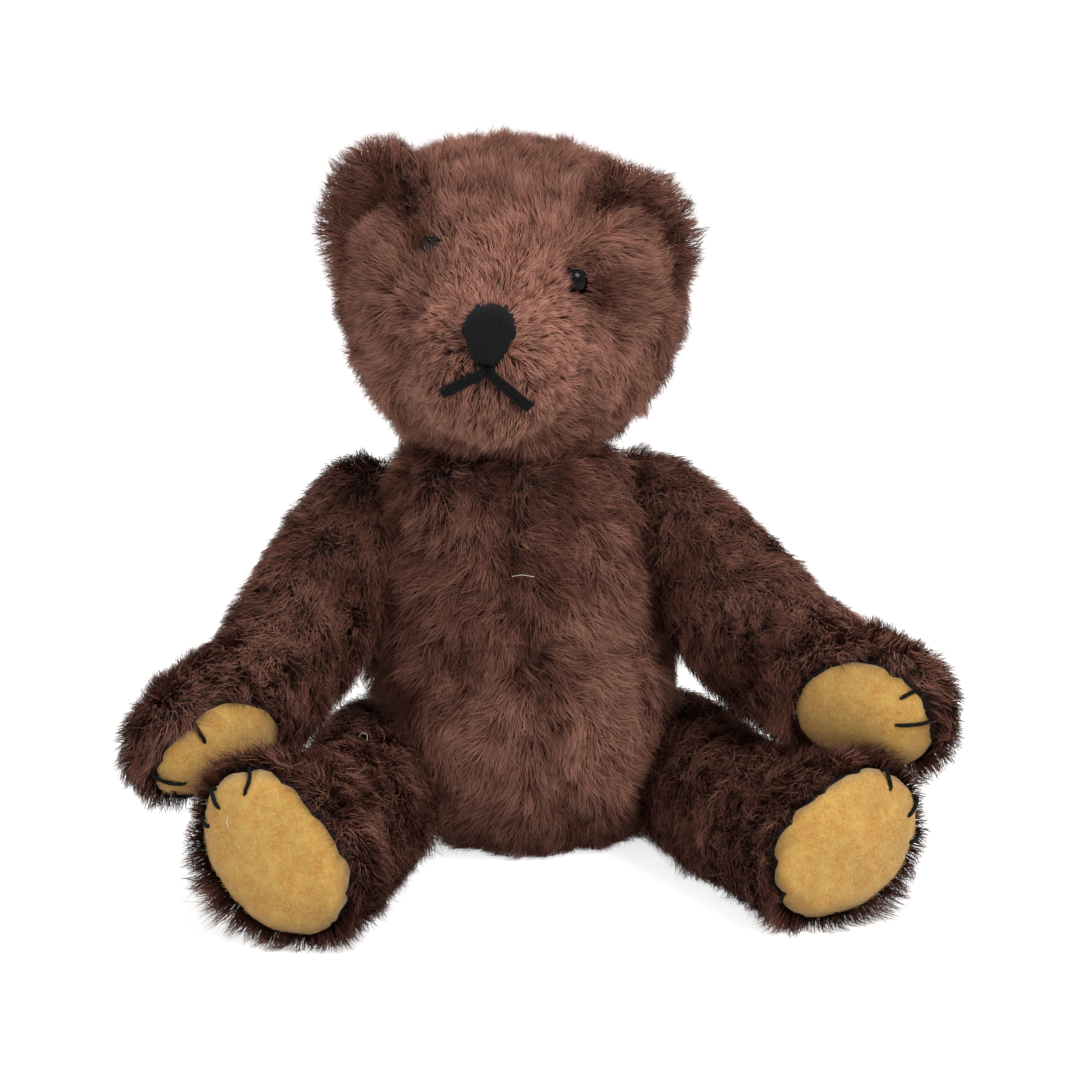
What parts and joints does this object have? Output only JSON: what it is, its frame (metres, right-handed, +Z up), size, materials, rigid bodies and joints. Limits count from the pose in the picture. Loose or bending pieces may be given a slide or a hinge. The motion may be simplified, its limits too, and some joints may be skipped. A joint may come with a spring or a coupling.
{
  "type": "jointed teddy bear",
  "caption": "Small jointed teddy bear of brown pile cloth, sitting, with felt pads, stitched nose and claws, and a head, arms and legs that turn on discs.",
  "frame": {"origin": "middle of the flat underside the body sits on", "axes": "+Z up, the bear faces -Y, and its left is +X"},
  "size_m": [0.199, 0.1384, 0.1821],
  "materials": {
    "pile": "worn brown mohair pile",
    "pale_pile": "paler brown mohair pile",
    "felt": "mustard felt, matt",
    "black_thread": "twisted cotton thread",
    "eye_glass": "glossy, nearly black",
    "wood_wool": "loose wood wool filling",
    "fibreboard": "pressed fibreboard",
    "steel": "plain bent steel pin"
  },
  "bodies": {
    "torso": {"body_panel_right": "pile", "body_panel_left": "pile", "body_stuffing": "wood_wool", "neck_disc_body": "fibreboard", "shoulder_disc_left": "fibreboard", "shoulder_disc_right": "fibreboard", "hip_disc_left": "fibreboard", "hip_disc_right": "fibreboard"},
    "head": {"head_middle_panel": "pile", "head_side_panel_right": "pile", "head_side_panel_left": "pile", "head_stuffing": "wood_wool", "ear_left_back": "pile", "ear_left_front": "pale_pile", "ear_right_back": "pile", "ear_right_front": "pale_pile", "eye_left": "eye_glass", "eye_right": "eye_glass", "nose": "black_thread", "mouth_left": "black_thread", "mouth_right": "black_thread", "neck_disc_head": "fibreboard", "neck_pin": "steel"},
    "arm_left": {"arm_left_paw_pad": "felt", "arm_left_inner_panel": "pile", "arm_left_outer_panel": "pile", "arm_left_stuffing": "wood_wool", "arm_left_disc": "fibreboard", "arm_left_pin": "steel", "arm_left_claw_1": "black_thread", "arm_left_claw_2": "black_thread", "arm_left_claw_3": "black_thread"},
    "arm_right": {"arm_right_paw_pad": "felt", "arm_right_inner_panel": "pile", "arm_right_outer_panel": "pile", "arm_right_stuffing": "wood_wool", "arm_right_disc": "fibreboard", "arm_right_pin": "steel", "arm_right_claw_1": "black_thread", "arm_right_claw_2": "black_thread", "arm_right_claw_3": "black_thread"},
    "leg_left": {"leg_left_sole": "felt", "leg_left_inner_panel": "pile", "leg_left_outer_panel": "pile", "leg_left_stuffing": "wood_wool", "leg_left_disc": "fibreboard", "leg_left_pin": "steel", "leg_left_claw_1": "black_thread", "leg_left_claw_2": "black_thread", "leg_left_claw_3": "black_thread"},
    "leg_right": {"leg_right_sole": "felt", "leg_right_inner_panel": "pile", "leg_right_outer_panel": "pile", "leg_right_stuffing": "wood_wool", "leg_right_disc": "fibreboard", "leg_right_pin": "steel", "leg_right_claw_1": "black_thread", "leg_right_claw_2": "black_thread", "leg_right_claw_3": "black_thread"}
  },
  "joints": [
    {"name": "neck_turn", "type": "hinge", "parent": "torso", "child": "head", "pos_m": [-0.008, 0, 0.104], "axis": [0.0698, 0, 0.9976], "range_deg": [-90, 90]},
    {"name": "arm_left_swing", "type": "hinge", "parent": "torso", "child": "arm_left", "pos_m": [0.023, 0.0035, 0.082], "axis": [0.9646, 0.2512, 0.0804], "range_deg": [-85, 0]},
    {"name": "arm_right_swing", "type": "hinge", "parent": "torso", "child": "arm_right", "pos_m": [-0.0334, 0.0035, 0.082], "axis": [-0.9646, 0.2512, 0.0804], "range_deg": [0, 85]},
    {"name": "leg_left_swing", "type": "hinge", "parent": "torso", "child": "leg_left", "pos_m": [0.0284, 0.0065, 0.0188], "axis": [0.9405, 0.3302, -0.08], "range_deg": [0, 90]},
    {"name": "leg_right_swing", "type": "hinge", "parent": "torso", "child": "leg_right", "pos_m": [-0.0267, 0.0065, 0.0188], "axis": [-0.9405, 0.3302, -0.08], "range_deg": [-90, 0]}
  ]
}
